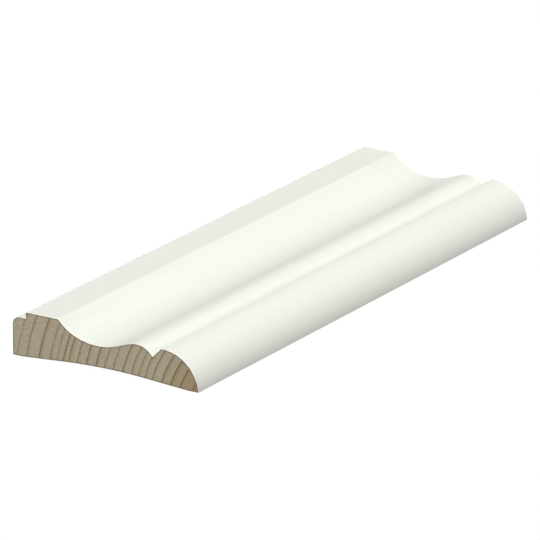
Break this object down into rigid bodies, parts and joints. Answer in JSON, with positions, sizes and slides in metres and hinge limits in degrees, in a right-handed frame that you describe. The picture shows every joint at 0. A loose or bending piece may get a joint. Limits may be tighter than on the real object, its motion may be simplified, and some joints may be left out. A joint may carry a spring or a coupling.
{
  "type": "door casing",
  "caption": "Length of primed pine door casing, cut square: a stepped outer edge, flat band, wide cove, bead and rounded inner edge, with a hollowed back.",
  "frame": {"origin": "middle of the underside's box, on the surface that the casing lies on, back down", "axes": "+X across the casing from its thick outer edge to its thin inner edge; +Y along its length; +Z out of the wall, towards the moulded face"},
  "size_m": [0.0888, 0.2634, 0.0191],
  "materials": {
    "primer": "off-white primer, satin, on the face and both edges",
    "bare_pine": "unpainted pine: sawn end grain at both ends and planed on the back"
  },
  "bodies": {
    "root": {"casing": "primer"}
  },
  "joints": []
}
